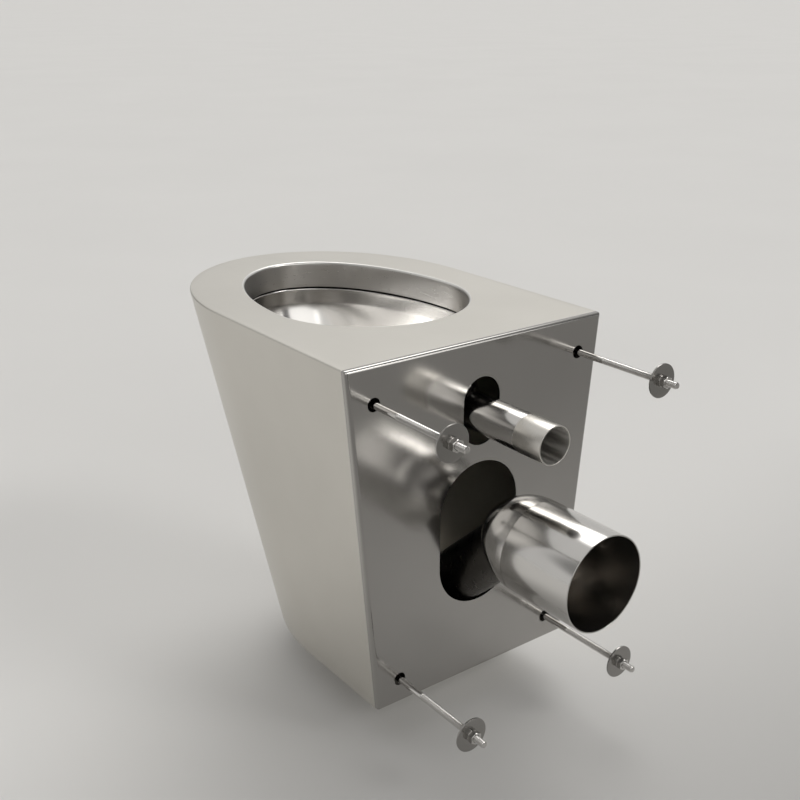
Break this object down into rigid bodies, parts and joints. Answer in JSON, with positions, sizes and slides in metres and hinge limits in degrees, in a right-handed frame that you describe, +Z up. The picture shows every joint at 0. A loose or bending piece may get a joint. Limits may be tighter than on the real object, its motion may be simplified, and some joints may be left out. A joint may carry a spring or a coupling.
{
  "type": "wall-hung toilet pan",
  "caption": "Wall-hung steel toilet pan seen from its wall side: tapered D-shaped casing, egg-shaped bowl, level flush and waste pipes, and threaded wall studs with washers and nuts.",
  "frame": {"origin": "on the outer face of the back plate, in the part's plane of symmetry, midway between the flush pipe's cut-out and the waste pipe's cut-out, 135.5 mm below the deck", "axes": "+Y out of the wall side, along the pipes and studs; +Z up; +X to the right for one who faces the wall from the pan"},
  "size_m": [0.37, 0.706, 0.424],
  "materials": {
    "satin_sheet": "satin ground stainless steel sheet",
    "polished_steel": "polished stainless steel",
    "bright_fastener_steel": "bright stainless steel fasteners"
  },
  "bodies": {
    "pan": {"body_shell": "satin_sheet", "top_deck": "satin_sheet", "rim_collar": "satin_sheet", "rim_channel": "satin_sheet", "bowl": "polished_steel", "back_plate": "satin_sheet", "base_plate": "satin_sheet", "flush_box": "satin_sheet", "flush_bend": "polished_steel", "flush_pipe": "polished_steel", "flush_sleeve": "satin_sheet", "waste_pipe": "polished_steel", "waste_bend": "polished_steel", "trap_leg": "polished_steel", "trap_bend": "polished_steel", "throat": "polished_steel", "bracket_upper_left": "satin_sheet", "bracket_upper_right": "satin_sheet", "bracket_lower_left": "satin_sheet", "bracket_lower_right": "satin_sheet", "captive_nut_upper_left": "bright_fastener_steel", "captive_nut_upper_right": "bright_fastener_steel", "captive_nut_lower_left": "bright_fastener_steel", "captive_nut_lower_right": "bright_fastener_steel", "stud_upper_left": "bright_fastener_steel", "stud_upper_right": "bright_fastener_steel", "stud_lower_left": "bright_fastener_steel", "stud_lower_right": "bright_fastener_steel"},
    "anchor_set_upper_left": {"washer_upper_left": "polished_steel", "spring_washer_upper_left": "bright_fastener_steel", "nut_upper_left": "bright_fastener_steel"},
    "anchor_set_upper_right": {"washer_upper_right": "polished_steel", "spring_washer_upper_right": "bright_fastener_steel", "nut_upper_right": "bright_fastener_steel"},
    "anchor_set_lower_left": {"washer_lower_left": "polished_steel", "spring_washer_lower_left": "bright_fastener_steel", "nut_lower_left": "bright_fastener_steel"},
    "anchor_set_lower_right": {"washer_lower_right": "polished_steel", "spring_washer_lower_right": "bright_fastener_steel", "nut_lower_right": "bright_fastener_steel"}
  },
  "joints": [
    {"name": "nut_travel_upper_left", "type": "slide", "parent": "pan", "child": "anchor_set_upper_left", "axis": [0, 1, 0], "range_m": [-0.088, 0.012]},
    {"name": "nut_travel_upper_right", "type": "slide", "parent": "pan", "child": "anchor_set_upper_right", "axis": [0, 1, 0], "range_m": [-0.088, 0.012]},
    {"name": "nut_travel_lower_left", "type": "slide", "parent": "pan", "child": "anchor_set_lower_left", "axis": [0, 1, 0], "range_m": [-0.088, 0.012]},
    {"name": "nut_travel_lower_right", "type": "slide", "parent": "pan", "child": "anchor_set_lower_right", "axis": [0, 1, 0], "range_m": [-0.088, 0.012]}
  ]
}
